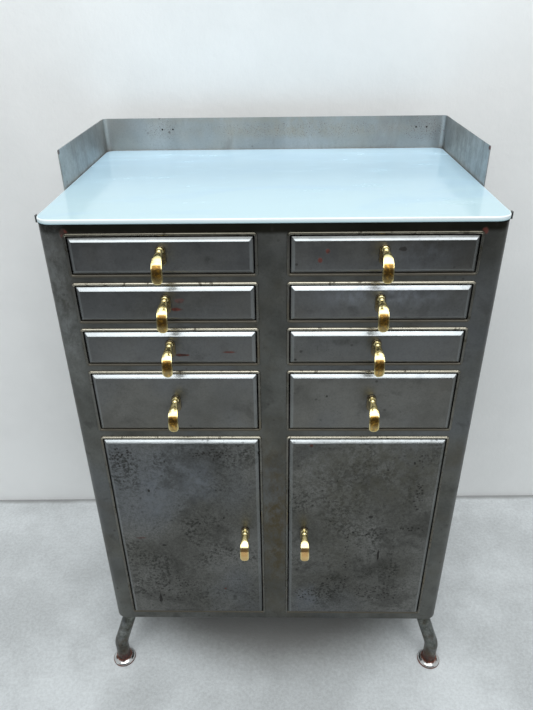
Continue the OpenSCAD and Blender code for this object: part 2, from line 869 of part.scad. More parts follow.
module drawer_pull(side, row) {
    z = front_middle(row) + pull_rise;
    drawer_at(side, row) translate([0, 0, z]) {
        pull();
        pull_screw(front_back + box_sheet);
    }
}

// ---- doors ----

function door_pull_x(side) = side * (door_free_x + door_pull_in);

module door_skin(side) {
    z0 = front_z0(door_row);
    h = front_h(door_row);
    color("slategray") placed()
        difference() {
            translate([column_x(side), 0, z0]) bevelled_pan(front_w, h, door_back);
            translate([side * pivot_x, pivot_y, 0]) {
                bar_z(pin_r + pin_gap, z0 - 1, z0 + 2 * front_sheet);
                bar_z(pin_r + pin_gap, z0 + h - 2 * front_sheet, z0 + h + 1);
            }
            translate([door_pull_x(side), 0, 0])
                screw_hole(rim_bottom(door_row) + door_pull_z, -front_proud - 1, 0);
        }
}

module door_liner(side) {
    z0 = front_z0(door_row);
    z1 = z0 + front_h(door_row);
    e = front_sheet + fit;
    x0 = door_free_x + strike_h;
    zs = deck_z - bracket_t - strike_drop;
    color("lightslategray") placed()
        difference() {
            union() {
                block_at(side, [door_free_x, door_back, z0],
                    [door_free_x + front_w, liner_back, z1]);
                difference() {
                    block_at(side, [door_free_x + e, door_back - liner_lip, z0 + e],
                        [door_free_x + front_w - e, door_back, z1 - e]);
                    block_at(side, [door_free_x + 2 * e, door_back - liner_lip - 1, z0 + 2 * e],
                        [door_free_x + front_w - 2 * e, door_back + 1, z1 - 2 * e]);
                }
                block_at(side, [x0, liner_back, zs - strike_h],
                    [x0 + strike_w, liner_back + strike_t, zs]);
            }
            translate([door_pull_x(side), 0, 0])
                screw_hole(rim_bottom(door_row) + door_pull_z, door_back - 1, liner_back + 1);
        }
}

module door_pull(side) {
    placed() translate([door_pull_x(side), 0, rim_bottom(door_row) + door_pull_z]) {
        pull();
        pull_screw(liner_back);
    }
}

// ---- nodes ----

side_sheet(left);  // side_left
side_sheet(right);  // side_right
face_stiles();
face_rails();
opening_rims();
back_panel();
top_panel();
bottom_pan();
liner(left);  // liner_left
liner(right);  // liner_right
centre_partition();
mid_decks();
cupboard_floors();
drawer_runners();
drawer_stops();
shelves();
shelf_pegs();
hinge_pivots();
door_catches();
gallery();
gallery_screws();
glass_top();
glass_pads();
glass_tabs();
leg(left, 0);  // leg_front_left
leg(right, 0);  // leg_front_right
leg(left, 1);  // leg_rear_left
leg(right, 1);  // leg_rear_right
feet();
leg_bolts();

for (i = [0, 1]) for (row = rows) {
    name = str("drawer_", side_names[i], "_", row + 1);
    drawer_box(sides[i], row);
    drawer_front(sides[i], row);
    drawer_pull(sides[i], row);
}
for (i = [0, 1]) {
    name = str("door_", side_names[i]);
    door_skin(sides[i]);
    door_liner(sides[i]);
    door_pull(sides[i]);
}
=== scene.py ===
import json
import math
import bmesh
import bpy
import numpy as np
from mathutils import Matrix, Vector


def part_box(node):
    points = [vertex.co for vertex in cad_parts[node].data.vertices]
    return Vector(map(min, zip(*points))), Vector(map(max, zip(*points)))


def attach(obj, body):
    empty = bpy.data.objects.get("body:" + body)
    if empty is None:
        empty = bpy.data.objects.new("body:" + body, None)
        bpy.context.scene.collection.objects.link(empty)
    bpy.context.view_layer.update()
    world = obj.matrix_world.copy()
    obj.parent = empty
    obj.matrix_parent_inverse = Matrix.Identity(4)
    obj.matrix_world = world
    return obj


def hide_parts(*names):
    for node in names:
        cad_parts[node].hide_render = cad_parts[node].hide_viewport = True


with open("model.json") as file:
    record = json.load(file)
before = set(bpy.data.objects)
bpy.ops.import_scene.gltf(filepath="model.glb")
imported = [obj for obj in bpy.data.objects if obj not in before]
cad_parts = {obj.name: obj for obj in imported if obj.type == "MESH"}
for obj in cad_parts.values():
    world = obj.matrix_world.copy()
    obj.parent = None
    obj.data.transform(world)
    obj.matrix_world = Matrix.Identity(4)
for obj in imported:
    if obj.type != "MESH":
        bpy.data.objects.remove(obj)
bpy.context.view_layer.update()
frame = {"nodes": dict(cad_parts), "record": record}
print("frame loaded:", len(frame["nodes"]), "nodes")

mm = 0.001
sides = ("left", "right")
drawerRows = (1, 2, 3, 4)


# camera: its place in metres, its right and up directions, and its lens in mm
camera = {
    "place": (0.01034, -1.13696, 1.38263),
    "right": (0.99978, 0.016443, -0.012988),
    "up": (0.002908, 0.504992, 0.863119),
    "lens": 30.957,
}
view = bpy.data.objects.new("camera", bpy.data.cameras.new("camera"))
bpy.context.scene.collection.objects.link(view)
viewBack = np.cross(camera["right"], camera["up"])
viewTurn = np.eye(4)
viewTurn[:3, :3] = np.stack([camera["right"], camera["up"], viewBack], 1)
viewTurn[:3, 3] = camera["place"]
view.matrix_world = Matrix(viewTurn.tolist())
view.data.lens = camera["lens"]
view.data.clip_start = 0.01
bpy.context.scene.camera = view
bpy.context.scene.view_settings.view_transform = "Standard"


# finishes
class Reading:
    # a shader socket that sums and products can be written with
    def __init__(self, finish, socket):
        self.finish, self.socket = finish, socket

    def sum(self, operation, a, b):
        return self.finish.node("ShaderNodeMath", {"operation": operation}, {0: a, 1: b})

    def __add__(self, other):
        return self.sum("ADD", self, other)

    def __radd__(self, other):
        return self.sum("ADD", other, self)

    def __sub__(self, other):
        return self.sum("SUBTRACT", self, other)

    def __rsub__(self, other):
        return self.sum("SUBTRACT", other, self)

    def __mul__(self, other):
        return self.sum("MULTIPLY", self, other)

    def __rmul__(self, other):
        return self.sum("MULTIPLY", other, self)


class Finish:
    # a material with its nodes; whatever it is given as a number stays a number on the socket
    def __init__(self, name, **fixed):
        self.material = bpy.data.materials.new(name)
        self.material.use_nodes = True
        self.tree = self.material.node_tree
        self.shader = self.tree.nodes["Principled BSDF"]
        self.coordinates = self.tree.nodes.new("ShaderNodeTexCoord")
        self.here = Reading(self, self.coordinates.outputs["Object"])
        for key, value in fixed.items():
            self.feed(key, value)

    # any node: its kind, its settings, its sockets' values or links, and the output that is read
    def node(self, kind, settings=None, links=None, out=0):
        made = self.tree.nodes.new(kind)
        for key, value in (settings or {}).items():
            setattr(made, key, value)
        for key, value in (links or {}).items():
            self.join(made.inputs[key], value)
        return Reading(self, made.outputs[out])

    def join(self, socket, value):
        if isinstance(value, Reading):
            self.tree.links.new(value.socket, socket)
        elif socket.type == "RGBA" and len(value) == 3:
            socket.default_value = (*value, 1)
        else:
            socket.default_value = value

    def feed(self, name, value):
        self.join(self.shader.inputs[name], value)

    def at(self, stretch=(1, 1, 1), shift=(0, 0, 0)):
        return self.node("ShaderNodeMapping", None,
            {"Vector": self.here, "Scale": stretch, "Location": shift})

    def noise(self, scale, detail=4, rough=0.55, stretch=(1, 1, 1), shift=(0, 0, 0), twist=0):
        return self.node("ShaderNodeTexNoise", None, {
            "Vector": self.at(stretch, shift), "Scale": scale, "Detail": detail,
            "Roughness": rough, "Distortion": twist})

    # smooth step from 0 at low to 1 at high
    def step(self, value, low, high):
        return self.node("ShaderNodeMapRange", {"interpolation_type": "SMOOTHSTEP"},
            {0: value, 1: low, 2: high, 3: 0.0, 4: 1.0})

    def blend(self, a, b, share):
        return self.node("ShaderNodeMix", {"data_type": "RGBA"}, {0: share, 6: a, 7: b}, 2)

    # round specks: one in each cell, kept where the cell's own random number passes keep
    def specks(self, scale, size, keep, shift=(0, 0, 0)):
        links = {"Vector": self.at(shift=shift), "Scale": scale}
        near = self.node("ShaderNodeTexVoronoi", None, links)
        random = self.node("ShaderNodeTexVoronoi", None, links, 1)
        chosen = self.step(self.node("ShaderNodeSeparateColor", None, {0: random}), keep, keep + 0.02)
        return self.step(near, size, size * 0.45) * chosen

    # One ragged patch about a point, size from its middle along each axis: distance over size, plus
    # a noise for its edge. A broad one fades out slowly and is torn by a coarse noise.
    def patch(self, centre, size, ragged=0.5, broad=False):
        stretch = [1 / s for s in size]
        shift = [-c / s for c, s in zip(centre, size)]
        reach = self.node("ShaderNodeVectorMath", {"operation": "LENGTH"},
            {0: self.at(stretch, shift)}, 1)
        if not broad:
            return self.step(reach + ragged * 2 * (self.noise(90, 3) - 0.5), 1.0, 0.55)
        torn = self.step(self.noise(46, 8, 0.78, (1.25, 1, 0.8)), 0.38, 0.64)
        inside = self.step(reach + ragged * 2 * (self.noise(24, 5, 0.6) - 0.5), 1.15, 0.1)
        return inside * (0.2 + 0.8 * torn)

    # the larger of two
    def most(self, a, b):
        return self.node("ShaderNodeMath", {"operation": "MAXIMUM"}, {0: a, 1: b})

    # a number that the mesh carries at each point
    def mark(self, name):
        return self.node("ShaderNodeAttribute", {"attribute_name": name}, None, 2)

    def bump(self, height, distance):
        self.feed("Normal", self.node("ShaderNodeBump", None,
            {"Strength": 1.0, "Distance": distance, "Height": height}))


# stains with an edge of their own; the other kinds fade out
crispKinds = ("rust", "speckle", "mark", "dots", "sootAndShade")
steelMarks = {"pit": (0.012, 0.010, 0.008), "rust": (0.105, 0.013, 0.005), "oldRust": (0.032, 0.008, 0.004)}


# Sheet steel: a mottled colour, cool, warm and smoky clouds, grain, specks, then the stains that its
# settings list, among them painted shade and painted highlights. The bevel mark of the mesh adds the ground
# bevels, polished and brightened most along the top as a painted highlight, and the run mark adds a painted
# highlight on the top runs of the rims and painted shade, with grime, on their bottom runs.
def steelFinish(name, s):
    f = Finish(name)
    blotch = f.step(f.noise(s["blotch"], 6, 0.62, s["stretch"]), 0.36, 0.66)
    colour = f.blend(s["dark"], s["light"], blotch)
    cool = f.step(f.noise(s["blotch"] * 0.6, 3, 0.5, shift=(3, 7, 1)), 0.46, 0.64)
    colour = f.blend(colour, s["cool"], cool * s["coolShare"])
    warm = f.step(f.noise(s["blotch"] * 0.8, 4, 0.6, shift=(9, 2, 5)), 0.5, 0.7)
    colour = f.blend(colour, s["warm"], warm * s["warmShare"])
    smokeAndShade = f.noise(s["blotch"] * 2.2, 6, 0.66, s["stretch"], (1, 4, 8), 0.4)
    smokeAndShade = f.step(smokeAndShade, s["smokeFrom"], s["smokeFrom"] + 0.13)
    colour = f.blend(colour, s["smokeAndShade"], smokeAndShade * s["smokeShare"])
    grain = f.step(f.noise(330, 5, 0.75, shift=(7, 7, 3)), 0.40, 0.72)
    colour = f.blend(colour, s["smokeAndShade"], grain * s["grain"])
    clusters = f.step(f.noise(9, 3, 0.6, shift=(5, 5, 2)), 0.46, 0.66)
    mottle = f.step(f.noise(150, 6, 0.74, shift=(4, 9, 6)), 0.47, 0.57)
    colour = f.blend(colour, s["smokeAndShade"], mottle * (0.25 + 0.75 * clusters) * s["mottle"])
    fine = f.specks(330, 0.30, 0.80) * clusters * s["fine"]
    pits = f.most(fine, f.specks(105, 0.36, s["coarse"], shift=(2, 6, 3)) * (0.35 + 0.65 * clusters))
    rust = f.step(f.noise(s["rustGrain"], 6, 0.7, shift=(8, 1, 4)), s["rustFrom"], s["rustFrom"] + 0.08)
    speckle = f.step(f.noise(420, 4, 0.7, shift=(6, 3, 2)), 0.55, 0.62)
    dots = f.specks(170, 0.50, 0.15, shift=(1, 3, 9))
    # the bevels: polished, and brightened most along the top as a painted highlight
    if s["bevel"]:
        bevel = f.mark("bevel")
        colour = f.blend(colour, s["bevel"], bevel * (0.75 + 0.25 * blotch))
    for kind, centre, size, ragged, depth in s["stains"]:
        spot = f.patch(centre, size, ragged, kind not in crispKinds) * depth
        if kind == "rust":
            rust = f.most(rust, spot)
        elif kind == "speckle":
            rust = f.most(rust, spot * speckle)
        elif kind == "mark":
            pits = f.most(pits, spot)
        elif kind == "dots":
            pits = f.most(pits, spot * dots)
        elif kind == "smokeAndShade":
            colour = f.blend(colour, s[kind], spot * (1.0 - s["mottle"] + s["mottle"] * mottle))
        else:
            colour = f.blend(colour, s[kind], spot)
    colour = f.blend(colour, steelMarks["pit"], pits)
    rustColour = f.blend(steelMarks["rust"], steelMarks["oldRust"], f.step(f.noise(160, 4), 0.4, 0.6))
    colour = f.blend(colour, rustColour, rust)
    rough = s["rough"] + 0.16 * (f.noise(55, 3, 0.6) - 0.5) + 0.08 * blotch + 0.12 * smokeAndShade
    if s["bevel"]:
        rough = rough - 0.10 * bevel
    shine = 1.0 - 0.85 * rust - 0.5 * pits
    # rims: a painted highlight on the top runs, and painted shade with grime and nicks on the bottom runs
    if s["runs"]:
        run = f.mark("run")
        top, low = f.step(run, 0.3, 0.8), f.step(run, -0.3, -0.8)
        nicks = f.step(f.noise(95, 3, 0.6, (1, 0.2, 1), (4, 1, 2)), 0.60, 0.66)
        colour = f.blend(colour, s["crestHighlight"], top * 0.9)
        colour = f.blend(colour, s["grimeAndShade"], f.most(low * 0.85, nicks * 0.8))
        # the painted highlight of the top runs has covered the stains, so they are laid on once more
        for kind, centre, size, ragged, depth in s["stains"]:
            colour = f.blend(colour, s[kind], f.patch(centre, size, ragged) * depth)
        rough = rough + 0.16 * low - 0.06 * top
        shine = shine - 0.45 * low
    f.feed("Base Color", colour)
    f.feed("Metallic", shine)
    f.feed("Roughness", rough + 0.35 * rust + 0.2 * pits)
    wave = f.noise(11, 2, 0.4) + 0.06 * f.noise(420, 2, 0.5)
    f.bump(wave - 0.08 * pits + 0.05 * rust, s["wave"])
    return f.material


# what every sheet of steel starts from: colours, then the sizes and shares of its clouds and specks
sheetSteel = {
    "dark": (0.128, 0.125, 0.115), "light": (0.190, 0.187, 0.175), "cool": (0.160, 0.170, 0.186),
    "warm": (0.165, 0.152, 0.130), "smokeAndShade": (0.060, 0.060, 0.056), "pale": (0.50, 0.52, 0.52),
    "haze": (0.27, 0.285, 0.31), "crestHighlight": (0.34, 0.31, 0.24), "sootAndShade": (0.022, 0.021, 0.015),
    "grimeAndShade": (0.085, 0.075, 0.055), "runs": False, "bevel": None, "grain": 0.25, "mottle": 0.12,
    "blotch": 7.0, "stretch": (1, 1, 1), "coolShare": 0.45, "warmShare": 0.35, "smokeShare": 0.3,
    "smokeFrom": 0.54, "fine": 0.5, "coarse": 0.965, "rustGrain": 26, "rustFrom": 0.86,
    "rough": 0.30, "wave": 0.0012, "stains": [],
}
# stains: kind, centre, size from the centre, raggedness, depth
drawerStains = [
    # darker strip along the top bevels of the top drawers, just under the glass
    ("sootAndShade", (0.0, -0.2300, 1.0652), (0.8, 0.012, 0.0058), 0.1, 0.75),
    ("haze", (0.1750, -0.2352, 0.9660), (0.1500, 0.012, 0.0280), 0.25, 0.9),
    ("haze", (0.2400, -0.2352, 1.0350), (0.0800, 0.012, 0.0350), 0.40, 0.5),
    ("smokeAndShade", (-0.1750, -0.2352, 0.9450), (0.1600, 0.012, 0.0400), 0.30, 0.35),
    ("rust", (-0.1520, -0.2352, 0.9585), (0.0110, 0.01, 0.0058), 0.75, 0.60),
    ("rust", (-0.1590, -0.2352, 0.9425), (0.0130, 0.01, 0.0036), 0.50, 0.95),
    ("rust", (-0.1554, -0.2353, 0.8552), (0.0150, 0.01, 0.0036), 0.45, 0.95),
    ("mark", (-0.1520, -0.2353, 0.8554), (0.0100, 0.01, 0.0022), 0.35, 0.90),
    ("mark", (-0.1610, -0.2353, 0.9424), (0.0075, 0.01, 0.0022), 0.35, 0.85),
    ("rust", (-0.0740, -0.2352, 0.8609), (0.0140, 0.01, 0.0022), 0.35, 0.85),
    ("rust", (0.0866, -0.2352, 1.0415), (0.0045, 0.01, 0.0052), 0.35, 0.90),
    ("rust", (0.0750, -0.2352, 1.0265), (0.0045, 0.01, 0.0052), 0.35, 0.90),
    ("smokeAndShade", (-0.1000, -0.2352, 1.0287), (0.0080, 0.01, 0.0085), 0.60, 0.75),
    ("mark", (0.2022, -0.2352, 1.0440), (0.0075, 0.01, 0.0045), 0.95, 0.85),
    ("smokeAndShade", (0.1800, -0.2352, 0.9640), (0.0350, 0.01, 0.0070), 0.90, 0.70),
    ("smokeAndShade", (0.1300, -0.2352, 0.9430), (0.0110, 0.01, 0.0060), 0.80, 0.60),
    ("smokeAndShade", (0.1200, -0.2352, 0.8800), (0.0500, 0.01, 0.0080), 0.95, 0.60),
]
doorStains = [
    ("smokeAndShade", (-0.2900, -0.2352, 0.6300), (0.0280, 0.01, 0.0350), 0.95, 0.80),
    ("smokeAndShade", (-0.1414, -0.2352, 0.4717), (0.0600, 0.01, 0.0450), 0.85, 0.60),
    ("smokeAndShade", (-0.2500, -0.2352, 0.3300), (0.0700, 0.01, 0.0700), 0.90, 0.60),
    ("mark", (-0.2327, -0.2352, 0.3934), (0.0060, 0.01, 0.0028), 0.50, 0.95),
    ("mark", (-0.2560, -0.2352, 0.2250), (0.0040, 0.01, 0.0230), 0.90, 0.90),
    ("mark", (-0.2480, -0.2352, 0.5450), (0.0026, 0.01, 0.0052), 0.50, 0.90),
    ("mark", (-0.1030, -0.2352, 0.4720), (0.0026, 0.01, 0.0030), 0.30, 0.90),
    ("smokeAndShade", (-0.1300, -0.2352, 0.2400), (0.0800, 0.01, 0.0350), 0.90, 0.70),
    ("cool", (-0.2354, -0.2352, 0.5287), (0.0400, 0.01, 0.1000), 0.50, 0.90),
    ("cool", (-0.1448, -0.2352, 0.5708), (0.0500, 0.01, 0.0600), 0.50, 0.80),
    ("rust", (-0.2781, -0.2352, 0.4145), (0.0140, 0.01, 0.0030), 0.70, 0.60),
    ("rust", (-0.1094, -0.2352, 0.2583), (0.0030, 0.01, 0.0030), 0.40, 0.80),
    ("warm", (0.2000, -0.2352, 0.5900), (0.2000, 0.01, 0.1300), 0.30, 0.95),
    ("warm", (0.1300, -0.2352, 0.4300), (0.0700, 0.01, 0.1500), 0.40, 0.60),
    ("mark", (0.2174, -0.2352, 0.3658), (0.0026, 0.01, 0.0200), 0.60, 1.00),
    ("mark", (0.1947, -0.2352, 0.4756), (0.0060, 0.01, 0.0040), 0.50, 0.85),
    ("dots", (0.1500, -0.2353, 0.3600), (0.0050, 0.01, 0.1400), 0.20, 1.00),
    ("dots", (0.2765, -0.2352, 0.4423), (0.0320, 0.01, 0.0080), 0.50, 1.00),
    ("dots", (0.2836, -0.2352, 0.5300), (0.0120, 0.01, 0.0500), 0.60, 0.90),
    ("dots", (0.2780, -0.2352, 0.6200), (0.0280, 0.01, 0.0200), 0.60, 0.90),
    ("dots", (0.0700, -0.2352, 0.2400), (0.0350, 0.01, 0.0250), 0.60, 0.80),
    ("dots", (0.2200, -0.2352, 0.2500), (0.0700, 0.01, 0.0350), 0.70, 0.80),
    ("dots", (-0.2900, -0.2352, 0.6300), (0.0300, 0.01, 0.0350), 0.60, 0.90),
    ("dots", (-0.1200, -0.2352, 0.6400), (0.0500, 0.01, 0.0200), 0.70, 0.80),
    ("dots", (-0.2200, -0.2352, 0.2600), (0.0600, 0.01, 0.0500), 0.70, 0.80),
    ("rust", (0.0704, -0.2352, 0.6580), (0.0040, 0.01, 0.0050), 0.50, 0.90),
    ("smokeAndShade", (0.1600, -0.2352, 0.5900), (0.0900, 0.01, 0.0500), 0.90, 0.65),
    ("smokeAndShade", (0.2700, -0.2352, 0.5200), (0.0350, 0.01, 0.1000), 0.80, 0.60),
    ("smokeAndShade", (0.1200, -0.2352, 0.4500), (0.0500, 0.01, 0.0900), 0.90, 0.55),
    ("smokeAndShade", (0.1200, -0.2352, 0.2300), (0.0900, 0.01, 0.0450), 0.90, 0.65),
    ("cool", (0.0664, -0.2352, 0.2300), (0.0300, 0.01, 0.0500), 0.60, 0.90),
]
galleryStains = [
    # painted shade on the two side wings of the gallery
    ("smokeAndShade", (-0.3725, 0.1000, 1.1200), (0.0100, 0.34, 0.1100), 0.45, 0.70),
    ("smokeAndShade", (0.3725, 0.1000, 1.1200), (0.0100, 0.34, 0.1100), 0.45, 0.80),
    ("speckle", (-0.2450, 0.2590, 1.1380), (0.0450, 0.02, 0.0260), 0.60, 0.5),
    ("speckle", (0.0800, 0.2590, 1.1350), (0.3000, 0.02, 0.0190), 0.60, 0.5),
    ("speckle", (0.3300, 0.2590, 1.1350), (0.0550, 0.02, 0.0300), 0.70, 0.7),
    ("warm", (0.0600, 0.2590, 1.1330), (0.3200, 0.02, 0.0200), 0.40, 0.8),
    # painted highlight on the bends of the gallery, partly wear
    ("pale", (-0.3600, 0.2560, 1.1300), (0.0060, 0.012, 0.0600), 0.30, 0.8),
    ("pale", (0.3600, 0.2560, 1.1300), (0.0060, 0.012, 0.0600), 0.30, 0.8),
    ("warm", (0.0000, 0.2590, 1.1560), (0.3600, 0.02, 0.0110), 0.50, 0.7),
    ("rust", (-0.3710, -0.0520, 1.1570), (0.0030, 0.006, 0.0050), 0.40, 0.7),
    ("rust", (0.3710, -0.0520, 1.1570), (0.0030, 0.006, 0.0050), 0.40, 0.9),
]
bodyStains = [
    # painted shade under the glass overhang along the top rail, partly a dark stain
    ("sootAndShade", (0, -0.2288, 1.0820), (0.800, 0.012, 0.0170), 0.10, 0.95),
    ("warm", (0, -0.2288, 0.4300), (0.050, 0.012, 0.3400), 0.25, 1.00),
    ("pale", (-0.3460, -0.2288, 0.9600), (0.030, 0.012, 0.2200), 0.40, 0.34),
    ("smokeAndShade", (0, -0.2288, 0.1550), (0.500, 0.012, 0.0260), 0.40, 0.50),
    ("rust", (-0.3240, -0.2290, 1.0690), (0.0070, 0.01, 0.0100), 0.60, 0.80),
    ("rust", (0.3270, -0.2290, 1.0700), (0.0060, 0.01, 0.0080), 0.60, 0.80),
]
# painted shade under the glass along the top runs of the top rims, partly a dark stain
rimStains = [("sootAndShade", (0, -0.2300, 1.0730), (0.8, 0.012, 0.0080), 0.3, 0.75)]
# on every leg, with a height in place of a centre
legMarks = [
    ("smokeAndShade", 0.052, (0.030, 0.030, 0.024), 0.5, 0.80),
    ("warm", 0.030, (0.030, 0.030, 0.040), 0.5, 1.00),
    ("rust", 0.012, (0.030, 0.030, 0.036), 0.6, 0.70),
    ("pale", 0.095, (0.024, 0.024, 0.034), 0.9, 0.35),
]
legPlaces = [(x, y) for x in (-0.3675, 0.3675) for y in (-0.2293, 0.2568)]
legStains = [(kind, (x, y, z), size, ragged, depth)
    for x, y in legPlaces for kind, z, size, ragged, depth in legMarks]

bodySteel = steelFinish("bodySteel", sheetSteel | {
    "dark": (0.100, 0.101, 0.093), "light": (0.160, 0.162, 0.151), "warm": (0.092, 0.074, 0.043),
    "blotch": 9.0, "coarse": 0.955, "rough": 0.36, "rustFrom": 0.77, "wave": 0.0010,
    "stains": bodyStains})
bevelSteel = (0.41, 0.44, 0.45)
frontSteel = steelFinish("frontSteel", sheetSteel | {"bevel": bevelSteel, "stains": drawerStains})
doorSteel = steelFinish("doorSteel", sheetSteel | {
    "dark": (0.118, 0.116, 0.106), "light": (0.200, 0.198, 0.187), "cool": (0.176, 0.188, 0.206),
    "warm": (0.104, 0.100, 0.082), "smokeAndShade": (0.034, 0.034, 0.030),
    "blotch": 5.5, "coolShare": 0.6, "smokeShare": 0.35, "smokeFrom": 0.51, "fine": 1.0, "coarse": 0.84,
    "grain": 0.5, "mottle": 0.8, "rough": 0.34, "bevel": bevelSteel, "stains": doorStains})
rimSteel = steelFinish("rimSteel", sheetSteel | {
    "dark": (0.125, 0.118, 0.100), "light": (0.190, 0.182, 0.160), "cool": (0.16, 0.165, 0.16),
    "warm": (0.17, 0.138, 0.090), "warmShare": 0.6, "blotch": 14.0, "coarse": 0.93, "runs": True,
    "crestHighlight": (0.44, 0.41, 0.33), "rough": 0.26, "rustFrom": 0.74, "wave": 0.0005, "stains": rimStains})
gallerySteel = steelFinish("gallerySteel", sheetSteel | {
    "dark": (0.41, 0.42, 0.42), "light": (0.56, 0.585, 0.59), "cool": (0.49, 0.55, 0.59),
    "warm": (0.45, 0.41, 0.34), "smokeAndShade": (0.24, 0.245, 0.24), "smokeShare": 0.5, "blotch": 6.0,
    "stretch": (1, 1, 0.35), "fine": 0.45, "coarse": 0.985, "rough": 0.42, "rustFrom": 0.74,
    "wave": 0.0010, "stains": galleryStains})
innerSteel = steelFinish("innerSteel", sheetSteel | {
    "dark": (0.30, 0.31, 0.31), "light": (0.40, 0.41, 0.41), "cool": (0.36, 0.39, 0.41),
    "warm": (0.36, 0.33, 0.28), "smokeAndShade": (0.18, 0.18, 0.17), "fine": 0.3, "coarse": 0.975,
    "rough": 0.42, "wave": 0.0008})
legSteel = steelFinish("legSteel", sheetSteel | {
    "dark": (0.060, 0.062, 0.052), "light": (0.22, 0.23, 0.21), "warm": (0.10, 0.066, 0.038),
    "warmShare": 0.6, "blotch": 55.0, "grain": 0.6, "fine": 1.0, "coarse": 0.9, "rustFrom": 0.66,
    "wave": 0.0008, "stains": legStains})
platedSteel = steelFinish("platedSteel", sheetSteel | {
    "dark": (0.42, 0.42, 0.40), "light": (0.58, 0.58, 0.56), "cool": (0.50, 0.53, 0.55),
    "warm": (0.50, 0.45, 0.34), "smokeAndShade": (0.25, 0.25, 0.24), "fine": 0.2, "coarse": 0.98,
    "wave": 0.0004})


brass = {
    "light": (0.84, 0.73, 0.38), "deep": (0.76, 0.63, 0.29), "tarnish": (0.36, 0.24, 0.10),
    "brown": (0.20, 0.115, 0.032), "amber": (0.62, 0.33, 0.05), "copper": (0.68, 0.41, 0.17),
    "plate": (0.15, 0.125, 0.08), "rough": 0.14,
}


# Brass: yellow metal, tarnished in clouds. The mark is 0 on bare metal, 1 on the paddles of the drawers,
# painted brown with amber glints as a dark reflection, partly tarnish; below 0 on the paddles of the doors,
# painted copper as a reflection of the floor, partly tarnish; and above 1 on the backplates, darkened as
# painted shade under the arm, partly tarnish.
def brassFinish():
    f = Finish("pullBrass", Metallic=1.0)
    cloud = f.step(f.noise(60, 4, 0.6), 0.42, 0.68)
    colour = f.blend(brass["light"], brass["deep"], cloud)
    tarnish = f.step(f.noise(150, 4, 0.65, shift=(3, 1, 2)), 0.62, 0.74)
    colour = f.blend(colour, brass["tarnish"], tarnish * 0.4)
    patinaAndReflection = f.mark("patinaAndReflection")
    # amber glints in the brown: painted glints of reflection
    amber = f.step(f.noise(260, 3, 0.6, shift=(2, 2, 6)), 0.50, 0.62)
    brown = f.blend(brass["brown"], brass["amber"], amber * 0.7)
    colour = f.blend(colour, brown, f.step(patinaAndReflection, 0.0, 1.0))
    colour = f.blend(colour, brass["copper"], f.step(patinaAndReflection, 0.0, -1.0))
    colour = f.blend(colour, brass["plate"], f.step(patinaAndReflection, 1.2, 1.5))
    f.feed("Base Color", colour)
    f.feed("Roughness", brass["rough"] + 0.08 * cloud + 0.2 * tarnish + 0.1 * f.step(patinaAndReflection, 0.0, 1.0))
    f.bump(f.noise(45, 2, 0.4) + 0.1 * f.noise(500, 2), 0.0004)
    return f.material


opal = {
    "rear": (0.520, 0.750, 0.890), "middle": (0.440, 0.640, 0.760), "front": (0.510, 0.700, 0.755),
    "streak": (0.42, 0.62, 0.77), "arris": (0.90, 0.97, 0.98), "dust": (0.66, 0.78, 0.82),
}


# Opal glass: milky blue, with streaks, dust and a pale ground edge. Its tone is painted light from front to
# rear: lighter at the front as a painted reflection, deeper across the middle, and brighter at the rear
# against the shade there.
def glassFinish():
    f = Finish("opalineGlass", IOR=1.5)
    depth = f.node("ShaderNodeSeparateXYZ", None, {0: f.here}, 1)
    cloud = f.noise(5, 4, 0.55, (0.7, 1.6, 1), twist=0.6)
    # painted light: the front painted lighter as a reflection, the rear painted brighter against its shade
    forward = f.step(depth + 0.12 * (cloud - 0.5), 0.10, -0.24)
    inward = f.step(depth + 0.1 * (cloud - 0.5), 0.24, 0.06)
    colour = f.blend(opal["rear"], opal["middle"], inward)
    colour = f.blend(colour, opal["front"], forward)
    colour = f.blend(colour, opal["streak"], f.step(cloud, 0.52, 0.66) * 0.3)
    colour = f.blend(colour, opal["arris"], f.mark("arris"))
    dust = f.step(f.noise(140, 4, 0.7), 0.66, 0.76)
    colour = f.blend(colour, opal["dust"], dust * 0.35)
    f.feed("Base Color", colour)
    wiped = f.step(f.noise(9, 4, 0.6, (1, 2.5, 1)), 0.45, 0.7)
    f.feed("Roughness", 0.12 + 0.16 * wiped + 0.2 * dust)
    return f.material


chrome = {"plate": (0.70, 0.71, 0.70), "rust": (0.20, 0.065, 0.038), "oldRust": (0.055, 0.026, 0.018)}


# Chrome of the feet: rusty near the floor, round the leg and in spots
def footFinish():
    f = Finish("footChrome")
    height = f.node("ShaderNodeSeparateXYZ", None, {0: f.here}, 2)
    grain = f.noise(110, 5, 0.7)
    low = f.step(height + 0.005 * (grain - 0.5), 0.0052, 0.0036)
    high = f.step(height + 0.006 * (grain - 0.5), 0.0096, 0.0112)
    spots = f.step(f.noise(170, 4, 0.7, shift=(4, 4, 1)), 0.60, 0.68)
    rust = f.most(f.most(low, high), spots * 0.8)
    rustColour = f.blend(chrome["rust"], chrome["oldRust"], f.step(grain, 0.4, 0.6))
    f.feed("Base Color", f.blend(chrome["plate"], rustColour, rust))
    f.feed("Metallic", 1.0 - 0.9 * rust)
    f.feed("Roughness", 0.16 + 0.55 * rust)
    f.bump(grain, 0.0004)
    return f.material


def rubberFinish():
    f = Finish("padRubber")
    f.feed("Base Color", f.blend((0.030, 0.030, 0.030), (0.055, 0.053, 0.050), f.noise(120, 4)))
    f.feed("Roughness", 0.75 + 0.2 * f.noise(300, 2))
    return f.material


